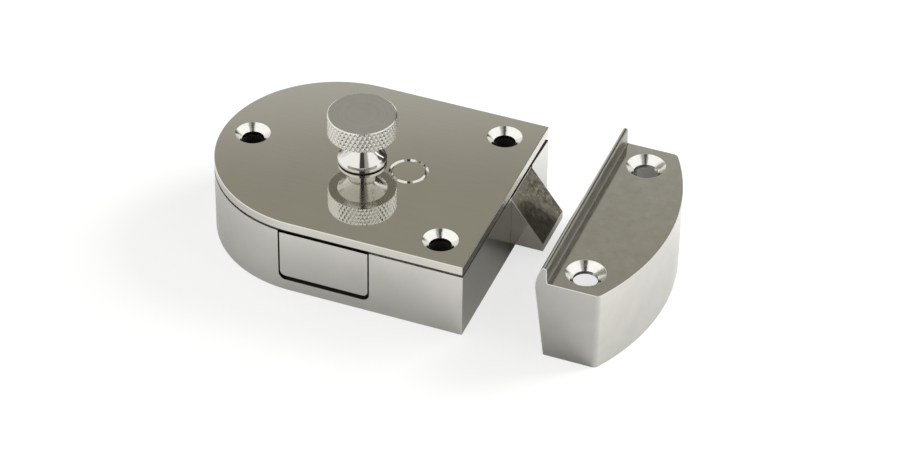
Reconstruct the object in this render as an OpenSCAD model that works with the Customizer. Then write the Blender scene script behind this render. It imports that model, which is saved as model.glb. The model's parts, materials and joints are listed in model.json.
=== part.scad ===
// Rim gate latch: a D-shaped case with a sprung bolt, a side push button and a knurled turn knob,
// and the keeper that catches the bolt.
// The origin is midway between the two screw holes at the strike end, on the mounting face.
// +X runs out of the case with the bolt, +Y runs from the button side across the case,
// and +Z runs from the mounting face to the knob.

/* [Case] */
// Length of the case, strike face to round end
case_len = 75; // [74:1:90]
// Width of the case
case_w = 60; // [59:1:76]
// Height of the case body under its cover
body_h = 18; // [17.8:0.2:24]
// Thickness of the side wall
side_wall = 3; // [2.5:0.25:3.5]
// Thickness of the wall that the bolt comes through
strike_wall = 4; // [3:0.5:6]
// Thickness of the floor
floor_t = 3; // [2.6:0.2:3.4]
// Depth of the fine step around the top of the body, which shows as a dark seam
seam_depth = 0.3; // [0.2:0.05:0.6]
// How far the strike wall's upper edge has dropped at the corner beyond the bolt
edge_drop = 1; // [0.2:0.1:1.5]

/* [Cover] */
// Thickness of the cover
cover_t = 2.7; // [2.5:0.1:4]
// Across the plain ring engraved on the cover
ring_d = 9.8; // [7:0.2:12]
// Width of the ring's groove
ring_groove = 0.55; // [0.3:0.05:1]
// Depth of the ring's groove
ring_depth = 0.3; // [0.1:0.05:0.6]
// From the strike face to the middle of the ring
ring_from_strike = 25.7; // [22:0.5:26]

/* [Mounting screw holes] */
// Across each screw hole
screw_hole_d = 5.5; // [4.5:0.1:5.7]
// Across the mouth of a countersink in the cover
case_sink_d = 8.8; // [8:0.1:10.2]
// From the strike face to the two screw holes beside it
screw_edge = 8.8; // [8.5:0.1:11]
// Between those two screw holes
screw_spacing = 44; // [43.8:0.2:46]
// From those two holes to the one at the round end
rear_screw_x = 58.5; // [57:0.5:60]
// Across the boss around each screw hole
boss_d = 12; // [10:0.5:13]

/* [Cover screws] */
// Across the thread of the screws that hold the cover from behind
cover_screw_d = 3; // [2.5:0.5:3]
// Across their countersunk heads
cover_head_d = 5.4; // [5:0.1:5.8]
// How far they go into the cover
cover_screw_bite = 1.7; // [1.2:0.1:2]
// Across the posts they run through
post_d = 6; // [5:0.5:6.5]

/* [Bolt] */
// Width of the bolt
bolt_w = 14.4; // [13:0.1:15]
// Gap between the bolt and the cover
bolt_roof_gap = 1.2; // [0.5:0.1:1.8]
// How far the bolt stands out of the case
bolt_throw = 8.5; // [7:0.25:9]
// From the middle of the case to the middle of the bolt
bolt_off = 10.8; // [10.6:0.1:11]
// Height of the flat on the bolt's nose
nose_h = 2.1; // [1.2:0.1:4]
// Length of the bolt's head inside the case
head_len = 16.8; // [15:0.2:17.4]
// Width of the tongue behind the head
tongue_w = 8.8; // [8.4:0.1:9]
// Height of the tongue
tongue_h = 6; // [5.4:0.2:7]
// Underside of the tongue above the follower's arm
tongue_gap = 0.8; // [0.3:0.1:1.2]
// Length of the tongue
tongue_len = 31.2; // [30.6:0.2:32]

/* [Knob and follower] */
// From the strike face to the knob's axis
knob_from_strike = 38; // [37.5:0.1:38.5]
// Across the knurled head
knob_d = 17.2; // [14:0.2:22]
// Height of the knurled head
knob_head_h = 5.6; // [4:0.2:8]
// Height of the whole knob
knob_h = 13.8; // [12.6:0.2:18]
// Bevel at the upper edge of the head
knob_bevel = 0.5; // [0.2:0.1:1]
// Bevel at the lower edge of the head
knob_lower_bevel = 0.2; // [0.1:0.1:0.5]
// Across the knob's round base
knob_base_d = 12.2; // [11:0.2:14]
// Height of the straight rim of the base
knob_rim_h = 1.1; // [0.6:0.1:1.6]
// Height of the shoulder that rises from the rim to the neck
knob_shoulder_h = 3.3; // [2.6:0.1:3.4]
// Across the flare under the head
knob_flare_d = 12.4; // [10:0.2:13.6]
// Height of the flare under the head
knob_flare_h = 3.5; // [1.4:0.1:3.6]
// Across the knob's neck
knob_neck_d = 7.8; // [7:0.1:9]
// Across the spindle in the cover bush
spindle_d = 6; // [5.4:0.1:6.4]
// Across the flats of the spindle's square
square_af = 5; // [4.6:0.1:5.2]
// Across the follower's hub
hub_d = 11; // [10:0.2:11.2]
// From the knob's axis to the pin that draws the bolt
bolt_arm = 11; // [10.8:0.1:11.2]
// From the knob's axis to the pin that the button pushes
button_arm = 8.5; // [8.2:0.1:8.8]
// Thickness of the follower's arms
arm_t = 3.2; // [2.6:0.1:3.4]
// Width of the follower's arms
arm_w = 6; // [5.4:0.1:6.2]
// Across the two drive pins
drive_pin_d = 3.6; // [3:0.1:3.8]

/* [Push button] */
// Width of the button
button_w = 22.9; // [20:0.1:24]
// Gap between the button and the cover
button_roof_gap = 0.7; // [0.4:0.1:1.5]
// From the strike face to the middle of the button
button_from_strike = 35.9; // [35:0.1:36.5]
// Gap at each side of the button
button_gap = 0.45; // [0.3:0.05:0.8]
// Gap under the button
button_foot_gap = 1.2; // [0.8:0.1:1.4]
// Radius of the button's two lower corners
button_corner = 1.4; // [0.8:0.1:3]
// Thickness of the flange that stops the button behind the wall
flange_t = 2; // [1.6:0.1:2.4]
// How far the flange reaches past each side of the button
flange_reach = 3.3; // [2.8:0.1:3.5]
// Across the two pins that guide the button
guide_pin_d = 2.5; // [2:0.1:2.6]
// Width of the plunger's bar
plunger_w = 5.2; // [4:0.1:5.3]
// Height of the plunger's bar
plunger_h = 5.4; // [4.6:0.1:6]

/* [Springs] */
// Wire of the bolt's spring
bolt_wire_d = 0.8; // [0.6:0.05:0.9]
// Outside of the bolt's spring
bolt_coil_d = 6.4; // [6:0.1:6.6]
// Length of the bolt's spring as fitted
bolt_spring_len = 16; // [15.5:0.1:16.5]
// Turns of the bolt's spring
bolt_turns = 6; // [5:1:7]
// Wire of each button spring
button_wire_d = 0.6; // [0.5:0.05:0.7]
// Outside of each button spring
button_coil_d = 4.8; // [4.6:0.1:5]
// Turns of each button spring
button_turns = 7; // [6:1:8]

/* [Keeper] */
// Width of the keeper
keeper_w = 59; // [58:1:70]
// Depth of the keeper at its base, along the bolt
keeper_depth = 21.3; // [20:0.1:26]
// Height of the keeper's top face
keeper_h = 22; // [21:0.5:28]
// Radius of the keeper's curved side
keeper_arc_r = 58; // [54:1:120]
// Radius of the keeper's two rounded corners
keeper_corner_r = 1.8; // [1.4:0.1:4]
// Gap between the strike face and the keeper's base, as they lie
keeper_apart = 20.5; // [18:0.5:30]
// How far the mouth side leans out over its base
keeper_lean = 2.6; // [1.5:0.1:3.2]
// Height of the lip over the top face
lip_rise = 4.4; // [2.5:0.1:6]
// Thickness of the lip at its root
lip_root = 2.6; // [2.2:0.1:3.5]
// Thickness of the keeper's two end walls
keeper_wall = 1.9; // [1.6:0.1:3]
// Height of the mouth's upper edge
mouth_top = 16.6; // [16.4:0.2:18]
// Thickness of the keeper's top plate
keeper_plate = 2.8; // [2.5:0.1:3.4]
// Thickness of the wall behind the hollow
keeper_back = 3.2; // [2:0.1:6]
// From the keeper's base edge to its screw holes
keeper_screw_x = 7.5; // [7.2:0.1:9]
// Between the keeper's screw holes
keeper_screw_spacing = 44.5; // [44:0.1:47]
// Across the keeper's screw holes
keeper_hole_d = 6; // [5:0.1:6.4]
// Across the mouth of a countersink in the keeper
keeper_sink_d = 9.6; // [8.6:0.1:10.4]

/* [Hidden] */
$fn = 96;
plan_fn = 180;

// Clearances
seat_gap = 0.02;
shaft_gap = 0.05;
slide_gap = 0.1;
pin_gap = 0.12;
end_gap = 0.2;
// How far a cut runs past what it cuts, and how far a rib is rooted in a wall or floor
cut = 1;
root = 0.5;

steel = [0.66, 0.65, 0.62];
plate_grey = [0.53, 0.51, 0.46];
bronze = [0.62, 0.46, 0.24];
spring_steel = [0.45, 0.45, 0.46];

// Case
strike_x = screw_edge;
arc_x = strike_x + case_w / 2 - case_len;
pocket_right = strike_x - strike_wall;
pocket_half = case_w / 2 - side_wall;
cover_top = body_h + cover_t;
inner_h = body_h - floor_t + root;
rear_post_back = 11.8;
rear_post_in = 7.5;
far_post_back = 22.8;
far_post_in = 4.5;
near_post_back = 11.8;
near_post_off = 8;
rear_posts = [arc_x - rear_post_back, pocket_half - rear_post_in];
far_post = [strike_x - far_post_back, pocket_half - far_post_in];
near_post = [strike_x - near_post_back, -near_post_off];
POSTS = [[rear_posts[0], -rear_posts[1]], rear_posts, far_post, near_post];
rib_t = 3;

// Knob axis: the follower turns evenly to each side of its middle position
axis_x = strike_x - knob_from_strike;
half_turn = asin(bolt_throw / 2 / bolt_arm);
bolt_pin = [axis_x + bolt_arm * sin(half_turn), bolt_arm * cos(half_turn)];
button_pin = [axis_x + button_arm * cos(half_turn), -button_arm * sin(half_turn)];

// Bushes, and the spindle in them
bush_wall = 1;
floor_bush_h = floor_t - 0.8;
floor_flange_t = 0.6;
cover_flange_t = 0.7;
bush_flange = 1.5;
floor_journal_d = 4;
hub_z = floor_t + floor_flange_t + slide_gap;
hub_top = body_h - cover_flange_t - end_gap;
stud_d = 5;
stud_flat = 0.3;

// Follower's arms and drive pins
arm_z = floor_t + 1;
arm_top = arm_z + arm_t;
pin_seat_z = arm_z + 0.5;

// Bolt and its spring
bolt_z = floor_t + slide_gap;
bolt_top = body_h - bolt_roof_gap;
bolt_near = bolt_off - bolt_w / 2;
bolt_far = bolt_off + bolt_w / 2;
bolt_tip = strike_x + bolt_throw;
bevel_lead = 0.2;
head_back = strike_x - head_len;
tongue_z = arm_top + tongue_gap;
tongue_top = tongue_z + tongue_h;
tongue_end = head_back - tongue_len;
tongue_mid = bolt_arm - 0.4;
guide_past_head = 5;
guide_back = head_back - guide_past_head;
rod_d = 3;
rod_z = tongue_z + tongue_h / 2;
rod_rib_x = tongue_end - bolt_spring_len - 2 * slide_gap;
rod_reach = 2;
rod_wall = 1.4;
rod_bore_end = bolt_pin[0] - drive_pin_d / 2 - pin_gap - rod_wall;

// Knob
washer_t = 0.3;
knob_z = cover_top + washer_t + shaft_gap;
knob_top = knob_z + knob_h;
neck_h = knob_h - knob_head_h;
stud_len = neck_h + 2;
grub_d = 2.5;
grub_z = knob_z + neck_h - 2.05;

// Button, plunger and guides
button_x = strike_x - button_from_strike;
front_y = -case_w / 2;
wall_in = front_y + side_wall;
flange_y = wall_in + end_gap;
flange_back = flange_y + flange_t;
button_z = floor_t + button_foot_gap;
button_h = body_h - button_roof_gap - button_z;
flange_top = button_z + button_h - 0.8;
flange_x0 = button_x - button_w / 2 - flange_reach;
flange_x1 = button_x + button_w / 2 + flange_reach;
guide_pin_in = 4.9;
guide_left = flange_x0 + guide_pin_in;
guide_right = flange_x1 - button_coil_d / 2;
guide_rise = 7;
guide_z = floor_t + guide_rise;
guide_press = 1.6;
guide_past = 1.5;
guide_rib_y = -11;
guide_rib_half = 3;
guide_rib_top = guide_z + 4;
plunger_x0 = axis_x + hub_d / 2 + 0.4;
plunger_x1 = plunger_x0 + plunger_w;
plunger_z = arm_top + 0.8;
plunger_tip = button_pin[1] - drive_pin_d / 2 - pin_gap;
foot_w = 13;
foot_t = 2.5;
foot_extra = 1.3;
plunger_screw_d = 2;
plunger_head_d = 3.6;
plunger_head_h = 1.3;
plunger_screw_bite = 1.4;
plunger_screw_x = plunger_x1 - foot_w + 2.6;
plunger_screw_levels = [plunger_z + 0.2, plunger_z + plunger_h - 0.2];

// Keeper
keeper_x = strike_x + keeper_apart;
keeper_out = keeper_x + keeper_depth;
keeper_half = keeper_w / 2;
keeper_arc_x = keeper_out - keeper_arc_r;
keeper_bulge = [keeper_x - keeper_lean, keeper_h - 1.9];
keeper_left = keeper_x - 2 * keeper_lean;
lip_in = keeper_bulge[0] + 0.3 + lip_root;
lip_tip_r = 0.65;
lip_tip = [lip_in - lip_tip_r - 0.1, keeper_h + lip_rise - lip_tip_r];
lip_fillet = 0.4;
lintel = 3;

// A quadratic curve from a to c, drawn towards b
function curve_points(a, b, c, n) =
    [for (i = [0:n]) let (t = i / n) (1 - t) * (1 - t) * a + 2 * t * (1 - t) * b + t * t * c];

// A block between two corners
module block(from, to) {
    translate(from) cube(to - from);
}

// A countersink whose mouth faces up at height z, and the screw hole under it down to z = low
module sunk_hole(hole_d, mouth_d, z, low) {
    sink_h = (mouth_d - hole_d) / 2;
    translate([0, 0, low]) cylinder(d = hole_d, h = z - low + cut);
    translate([0, 0, z - sink_h]) cylinder(d1 = hole_d, d2 = mouth_d, h = sink_h);
    translate([0, 0, z]) cylinder(d = mouth_d, h = cut);
}

// The D-shaped outline of the case, drawn in by one distance at the round side and another at
// the strike face
module case_plan(inset, strike_inset) {
    translate([arc_x, 0]) circle(d = case_w - 2 * inset, $fn = plan_fn);
    translate([arc_x, inset - case_w / 2])
        square([strike_x - strike_inset - arc_x, case_w - 2 * inset]);
}

// A rectangle standing on z = 0 with its two lower corners rounded
module foot_rounded(w, h, r) {
    translate([-w / 2, r]) square([w, h - r]);
    translate([r - w / 2, 0]) square([w - 2 * r, h]);
    for (side = [-1, 1]) translate([side * (w / 2 - r), r]) circle(r = r);
}

// The places of the case's three mounting screws
module at_case_screws() {
    for (side = [-1, 1]) translate([0, side * screw_spacing / 2, 0]) children();
    translate([-rear_screw_x, 0, 0]) children();
}

module case_shell() difference() {
    union() {
        linear_extrude(body_h - seam_depth) case_plan(0, 0);
        linear_extrude(body_h) case_plan(seam_depth, seam_depth);
    }
    translate([0, 0, floor_t]) linear_extrude(body_h) case_plan(side_wall, strike_wall);
}

// Bosses, posts and ribs that stand on the floor
module case_inside() {
    rooted = floor_t - root;
    translate([0, 0, rooted]) {
        at_case_screws() cylinder(d = boss_d, h = inner_h);
        for (p = POSTS) translate(p) cylinder(d = post_d, h = inner_h);
    }
    // Guides of the bolt's head
    for (y = [bolt_near - slide_gap - rib_t, bolt_far + slide_gap - root])
        block([guide_back, y, rooted], [pocket_right + root, y + rib_t + root, body_h]);
    // Guides of the button's pins
    for (x = [guide_left, guide_right])
        block([x - guide_rib_half, guide_rib_y, rooted],
              [x + guide_rib_half, guide_rib_y + rib_t, guide_rib_top]);
    // Rib of the spring rod, between the rear boss and the wall
    intersection() {
        linear_extrude(rod_z + bolt_coil_d / 2 + 1) case_plan(side_wall - root, strike_wall);
        block([rod_rib_x - rib_t, boss_d / 4, rooted], [rod_rib_x, pocket_half, body_h]);
    }
}

module case_body() color(steel) difference() {
    union() {
        case_shell();
        case_inside();
    }
    // Way of the bolt, open to the cover
    block([guide_back - cut, bolt_near - slide_gap, floor_t],
          [strike_x + cut, bolt_far + slide_gap, body_h + cut]);
    // Worn upper edge of the strike wall beyond the bolt, deepest at the corner
    translate([pocket_right - cut, 0, 0]) rotate([90, 0, 90])
        linear_extrude(strike_wall + 2 * cut) polygon([
            [bolt_far + rib_t, body_h],
            [case_w / 2, body_h - edge_drop],
            [case_w / 2 + cut, body_h - edge_drop],
            [case_w / 2 + cut, body_h + cut],
            [bolt_far + rib_t, body_h + cut]
        ]);
    // Notch of the button, open to the cover
    translate([button_x, wall_in + root, floor_t]) rotate([90, 0, 0])
        linear_extrude(side_wall + root + cut)
            foot_rounded(button_w + 2 * button_gap, body_h, button_corner + button_gap);
    // Flat landing for the button's flange where the wall begins to curve
    block([flange_x0 - end_gap, wall_in, floor_t], [button_x, wall_in + side_wall, body_h + cut]);
    at_case_screws() translate([0, 0, -cut]) cylinder(d = screw_hole_d, h = body_h + 2 * cut);
    // Clearance holes of the cover screws, countersunk at the back
    hole_d = cover_screw_d + 2 * pin_gap;
    sink_h = (cover_head_d - cover_screw_d) / 2 + cut;
    for (p = POSTS) translate([p[0], p[1], -cut]) {
        cylinder(d = hole_d, h = body_h + 2 * cut);
        cylinder(d1 = hole_d + 2 * sink_h, d2 = hole_d, h = sink_h);
    }
    // Seat of the lower bush
    translate([axis_x, 0, floor_t - floor_bush_h])
        cylinder(d = floor_journal_d + 2 * (bush_wall + seat_gap), h = floor_t);
    // Holes of the guide pins and of the spring rod
    for (x = [guide_left, guide_right])
        translate([x, guide_rib_y - cut, guide_z]) rotate([-90, 0, 0])
            cylinder(d = guide_pin_d + 2 * shaft_gap, h = rib_t + 2 * cut);
    translate([rod_rib_x - rib_t - cut, tongue_mid, rod_z]) rotate([0, 90, 0])
        cylinder(d = rod_d + 2 * seat_gap, h = rib_t + 2 * cut);
}

module cover_plate() color(plate_grey) difference() {
    translate([0, 0, body_h]) linear_extrude(cover_t) case_plan(0, 0);
    at_case_screws() sunk_hole(screw_hole_d, case_sink_d, cover_top, body_h - cut);
    translate([axis_x, 0, body_h - cut])
        cylinder(d = spindle_d + 2 * (bush_wall + seat_gap), h = cover_t + 2 * cut);
    for (p = POSTS) translate([p[0], p[1], body_h - cut])
        cylinder(d = cover_screw_d + 2 * seat_gap, h = cover_screw_bite + pin_gap + cut);
    // Plain engraved ring
    translate([strike_x - ring_from_strike, 0, cover_top - ring_depth]) difference() {
        cylinder(d = ring_d, h = ring_depth + cut);
        translate([0, 0, -cut]) cylinder(d = ring_d - 2 * ring_groove, h = ring_depth + 3 * cut);
    }
}

// Countersunk screws from behind, through the posts into the cover, with cross recesses
module cover_screws() color(steel) for (p = POSTS) translate(p) {
    head_h = (cover_head_d - cover_screw_d) / 2;
    cross_half = [1.1, 0.3];
    difference() {
        union() {
            cylinder(d1 = cover_head_d, d2 = cover_screw_d, h = head_h);
            cylinder(d = cover_screw_d, h = body_h + cover_screw_bite);
        }
        for (turn = [0, 90]) rotate(turn)
            block([-cross_half[0], -cross_half[1], -cut], [cross_half[0], cross_half[1], head_h]);
    }
}

// Flanged bush in the cover, its flange under the cover
module cover_bush() color(bronze) translate([axis_x, 0, body_h]) difference() {
    union() {
        cylinder(d = spindle_d + 2 * bush_wall, h = cover_t - end_gap);
        translate([0, 0, -cover_flange_t])
            cylinder(d = spindle_d + 2 * (bush_wall + bush_flange), h = cover_flange_t);
    }
    translate([0, 0, -cut]) cylinder(d = spindle_d + 2 * shaft_gap, h = cover_t + 2 * cut);
}

// Flanged bush in the floor for the foot of the spindle
module floor_bush() color(bronze) translate([axis_x, 0, floor_t]) difference() {
    union() {
        translate([0, 0, pin_gap - floor_bush_h])
            cylinder(d = floor_journal_d + 2 * bush_wall, h = floor_bush_h);
        cylinder(d = floor_journal_d + 2 * (bush_wall + bush_flange), h = floor_flange_t);
    }
    translate([0, 0, -floor_t]) cylinder(d = floor_journal_d + 2 * shaft_gap, h = 2 * floor_t);
}

// The bolt in one piece: bevelled head, then a tongue with the slot for the drive pin and the
// bore for the spring rod
module latch_bolt() color(steel) difference() {
    union() {
        translate([0, bolt_far, 0]) rotate([90, 0, 0]) linear_extrude(bolt_w) polygon([
            [head_back, bolt_z],
            [bolt_tip, bolt_z],
            [bolt_tip, bolt_z + nose_h],
            [strike_x - bevel_lead, bolt_top],
            [head_back, bolt_top]
        ]);
        block([tongue_end, tongue_mid - tongue_w / 2, tongue_z],
              [head_back + root, tongue_mid + tongue_w / 2, tongue_top]);
    }
    slot_r = drive_pin_d / 2 + pin_gap;
    slot_from = bolt_pin[1] - end_gap;
    slot_to = bolt_arm + end_gap;
    block([bolt_pin[0] - slot_r, slot_from, tongue_z - cut],
          [bolt_pin[0] + slot_r, slot_to, tongue_top + cut]);
    for (y = [slot_from, slot_to]) translate([bolt_pin[0], y, tongue_z - cut])
        cylinder(r = slot_r, h = tongue_h + 2 * cut);
    translate([tongue_end - cut, tongue_mid, rod_z]) rotate([0, 90, 0])
        cylinder(d = rod_d + 2 * slide_gap, h = rod_bore_end - tongue_end + cut);
}

// Rod through the bolt's spring, held in its rib and running in the tongue
module spring_rod() color(steel) {
    rod_start = rod_rib_x - rib_t + pin_gap;
    translate([rod_start, tongue_mid, rod_z]) rotate([0, 90, 0])
        cylinder(d = rod_d, h = tongue_end + rod_reach - rod_start);
}

// A point on the middle line of a spring: it turns evenly at radius r, t going from 0 to 1,
// while it climbs from the wire's own radius to the same distance under the end
function helix_at(t, r, wire, len, turns) =
    [r * cos(360 * turns * t), r * sin(360 * turns * t), wire / 2 + (len - wire) * t];

// A compression spring as one tube of wire along its helix about +Z
module wire_spring(outer_d, wire, len, turns) {
    r = (outer_d - wire) / 2;
    rings = 8;
    sides = 6;
    steps = turns * rings;
    slope = atan((len - wire) / (2 * PI * r * turns));
    points = [
        for (i = [0:steps]) let (
            mid = helix_at(i / steps, r, wire, len, turns),
            turn = 360 * i / rings,
            out = [cos(turn), sin(turn), 0],
            up = [sin(turn) * sin(slope), -cos(turn) * sin(slope), cos(slope)]
        ) for (s = [0:sides - 1])
            mid + wire / 2 * (cos(360 * s / sides) * out + sin(360 * s / sides) * up)
    ];
    walls = [
        for (i = [0:steps - 1], s = [0:sides - 1]) let (
            a = i * sides + s,
            b = i * sides + (s + 1) % sides
        ) each [[a, a + sides, b], [b, a + sides, b + sides]]
    ];
    last = steps * sides;
    ends = [for (s = [1:sides - 2]) each [[0, s, s + 1], [last, last + s + 1, last + s]]];
    gap = min([for (i = [0:steps - rings])
        norm(helix_at((i + rings) / steps, r, wire, len, turns)
             - helix_at(i / steps, r, wire, len, turns))]) - wire;
    echo("least gap between turns", gap);
    polyhedron(points = points, faces = concat(walls, ends));
}

module bolt_spring() color(spring_steel)
    translate([rod_rib_x + slide_gap, tongue_mid, rod_z]) rotate([0, 90, 0])
        wire_spring(bolt_coil_d, bolt_wire_d, bolt_spring_len, bolt_turns);

module button_springs() color(spring_steel)
    for (x = [guide_left, guide_right])
        translate([x, flange_back + slide_gap, guide_z]) rotate([-90, 0, 0])
            wire_spring(button_coil_d, button_wire_d, guide_rib_y - flange_back - 2 * slide_gap,
                        button_turns);

// Spindle: foot journal, square for the follower, journal in the cover and stud for the knob
module spindle() color(steel) translate([axis_x, 0, 0]) difference() {
    foot_z = floor_t - floor_bush_h + end_gap;
    union() {
        translate([0, 0, foot_z]) cylinder(d = floor_journal_d, h = hub_z + root - foot_z);
        block([-square_af / 2, -square_af / 2, hub_z],
              [square_af / 2, square_af / 2, hub_top + slide_gap]);
        translate([0, 0, hub_top + seat_gap])
            cylinder(d = spindle_d, h = knob_z - end_gap - hub_top - seat_gap);
        translate([0, 0, cover_top]) cylinder(d = stud_d, h = knob_z + stud_len - cover_top);
    }
    block([-stud_d, stud_d / 2 - stud_flat, knob_z], [stud_d, stud_d, knob_top]);
}

// One arm of the follower from the axis to a pin, at an angle
module arm(length, angle) {
    rotate(angle) {
        translate([0, -arm_w / 2, 0]) cube([length, arm_w, arm_t]);
        translate([length, 0, 0]) cylinder(d = arm_w, h = arm_t);
    }
}

// Follower: a hub on the spindle's square, with one arm for the bolt and one for the button
module follower() color(bronze) difference() {
    translate([axis_x, 0, 0]) {
        translate([0, 0, hub_z]) cylinder(d = hub_d, h = hub_top - hub_z);
        translate([0, 0, arm_z]) {
            arm(bolt_arm, 90 - half_turn);
            arm(button_arm, -half_turn);
        }
    }
    square_half = square_af / 2 + seat_gap;
    translate([axis_x, 0, 0])
        block([-square_half, -square_half, 0], [square_half, square_half, body_h]);
    for (p = [bolt_pin, button_pin]) translate([p[0], p[1], pin_seat_z])
        cylinder(d = drive_pin_d + 2 * seat_gap, h = arm_t);
}

// A drive pin pressed into an arm, standing up past it
module drive_pin(place, top) {
    translate([place[0], place[1], pin_seat_z + seat_gap])
        cylinder(d = drive_pin_d, h = top - pin_seat_z - seat_gap);
}

module bolt_drive_pin() color(steel) drive_pin(bolt_pin, tongue_top - end_gap);

module button_drive_pin() color(steel) drive_pin(button_pin, plunger_z + plunger_h);

// The knob's outline from its base to its top, beside its axis
function knob_profile() = let (
    base_r = knob_base_d / 2,
    neck_r = knob_neck_d / 2,
    head_r = knob_d / 2,
    ease = 0.15,
    shoulder_pull = 0.35,
    flare_pull = 0.35,
    shoulder_top = knob_rim_h + knob_shoulder_h,
    flare_h = min(knob_flare_h, neck_h - shoulder_top - ease),
    flare_r = min(knob_flare_d / 2, head_r - knob_lower_bevel - ease)
) concat(
    [[0, 0], [base_r - ease, 0], [base_r, ease]],
    curve_points([base_r, knob_rim_h],
                 [neck_r + shoulder_pull * (base_r - neck_r), knob_rim_h + shoulder_pull * knob_shoulder_h],
                 [neck_r, shoulder_top], 10),
    curve_points([neck_r, neck_h - flare_h],
                 [neck_r + flare_pull * (flare_r - neck_r), neck_h - flare_pull * flare_h],
                 [flare_r, neck_h], 10),
    [
        [head_r - knob_lower_bevel, neck_h],
        [head_r, neck_h + knob_lower_bevel],
        [head_r, knob_h - knob_bevel],
        [head_r - knob_bevel, knob_h],
        [0, knob_h]
    ]
);

// Turned knob: base, hollow neck that flares out both ways, and wide head
module knob() color(steel) difference() {
    translate([axis_x, 0, knob_z]) rotate_extrude($fn = 120) polygon(knob_profile());
    translate([axis_x, 0, knob_z - cut])
        cylinder(d = stud_d + 2 * seat_gap, h = stud_len + cut + pin_gap);
    translate([axis_x, 0, grub_z]) rotate([-90, 0, 0])
        cylinder(d = grub_d + 2 * seat_gap, h = knob_neck_d);
}

// Grub screw in the far side of the neck, bearing on the stud's flat
module knob_grub_screw() color(steel) {
    grub_len = (knob_neck_d - stud_d) / 2 + stud_flat - end_gap;
    translate([axis_x, stud_d / 2 - stud_flat + seat_gap, grub_z]) rotate([-90, 0, 0])
        difference() {
            cylinder(d = grub_d, h = grub_len);
            translate([0, 0, grub_len / 2]) cylinder(d = grub_d / 2, h = grub_len, $fn = 6);
        }
}

// Thin black washer between the knob and the cover
module knob_washer() color("black") translate([axis_x, 0, cover_top]) difference() {
    cylinder(d = knob_base_d - 0.6, h = washer_t);
    translate([0, 0, -cut]) cylinder(d = spindle_d + 2 * pin_gap, h = washer_t + 2 * cut);
}

// Push button: the face that fills the notch, and the flange that stops it behind the wall
module push_button() color(steel) difference() {
    union() {
        translate([button_x, flange_y + root, button_z]) rotate([90, 0, 0])
            linear_extrude(flange_y + root - front_y - slide_gap)
                foot_rounded(button_w, button_h, button_corner);
        block([flange_x0, flange_y, button_z], [flange_x1, flange_back, flange_top]);
    }
    for (x = [guide_left, guide_right])
        translate([x, flange_back - guide_press, guide_z]) rotate([-90, 0, 0])
            cylinder(d = guide_pin_d + 2 * seat_gap, h = flange_t);
    for (z = plunger_screw_levels)
        translate([plunger_screw_x, flange_back - plunger_screw_bite - seat_gap, z])
            rotate([-90, 0, 0]) cylinder(d = plunger_screw_d + 2 * seat_gap, h = flange_t);
}

// Plunger: a bar from the button to the follower's pin, with a foot screwed to the button
module button_plunger() color(bronze) difference() {
    union() {
        block([plunger_x0, flange_back, plunger_z],
              [plunger_x1, plunger_tip, plunger_z + plunger_h]);
        block([plunger_x1 - foot_w, flange_back, plunger_z - foot_extra],
              [plunger_x1, flange_back + foot_t, plunger_z + plunger_h + foot_extra]);
    }
    for (z = plunger_screw_levels)
        translate([plunger_screw_x, flange_back - cut, z]) rotate([-90, 0, 0])
            cylinder(d = plunger_screw_d + 2 * seat_gap, h = foot_t + 2 * cut);
}

module plunger_screws() color(steel) for (z = plunger_screw_levels)
    translate([plunger_screw_x, flange_back, z]) rotate([-90, 0, 0]) {
        translate([0, 0, -plunger_screw_bite])
            cylinder(d = plunger_screw_d, h = plunger_screw_bite + foot_t + seat_gap + root);
        translate([0, 0, foot_t + seat_gap])
            cylinder(d = plunger_head_d, h = plunger_head_h);
    }

// Pins pressed into the button that slide in the ribs and carry the springs
module guide_pins() color(steel) for (x = [guide_left, guide_right]) {
    pin_y = flange_back - guide_press + seat_gap;
    translate([x, pin_y, guide_z]) rotate([-90, 0, 0])
        cylinder(d = guide_pin_d, h = guide_rib_y + rib_t + guide_past - pin_y);
}

// The keeper seen from above: a straight mouth side, a curved far side and two round corners
module keeper_plan(inset) {
    half = keeper_half - inset;
    arc_r = keeper_arc_r - inset;
    corner_r = keeper_corner_r - inset / 2;
    corner_y = half - corner_r;
    corner_x = keeper_arc_x + sqrt(pow(arc_r - corner_r, 2) - pow(corner_y, 2));
    reach = 1.01 * arc_r / (arc_r - corner_r);
    difference() {
        intersection() {
            translate([keeper_arc_x, 0]) circle(r = arc_r, $fn = 2 * plan_fn);
            translate([keeper_left, -half]) square([keeper_out - keeper_left, 2 * half]);
        }
        // What the round corners leave out
        for (side = [-1, 1]) polygon([
            [corner_x, side * corner_y],
            [corner_x, side * (half + cut)],
            [keeper_out + cut, side * (half + cut)],
            [keeper_arc_x + (corner_x - keeper_arc_x) * reach, side * corner_y * reach]
        ]);
    }
    for (side = [-1, 1]) translate([corner_x, side * corner_y]) circle(r = corner_r);
}

// The keeper seen from its end: the mouth side leans out and curls up into the lip
module keeper_profile() polygon(concat(
    [[keeper_x, 0], keeper_bulge],
    curve_points(keeper_bulge, keeper_bulge + [0.1, 3.6],
                 lip_tip + lip_tip_r * [cos(135), sin(135)], 9),
    [for (a = [120:-30:0]) lip_tip + lip_tip_r * [cos(a), sin(a)]],
    curve_points([lip_in, keeper_h + lip_fillet], [lip_in, keeper_h], [lip_in + lip_fillet, keeper_h], 5),
    [[keeper_out + cut, keeper_h], [keeper_out + cut, 0]]
));

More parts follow.
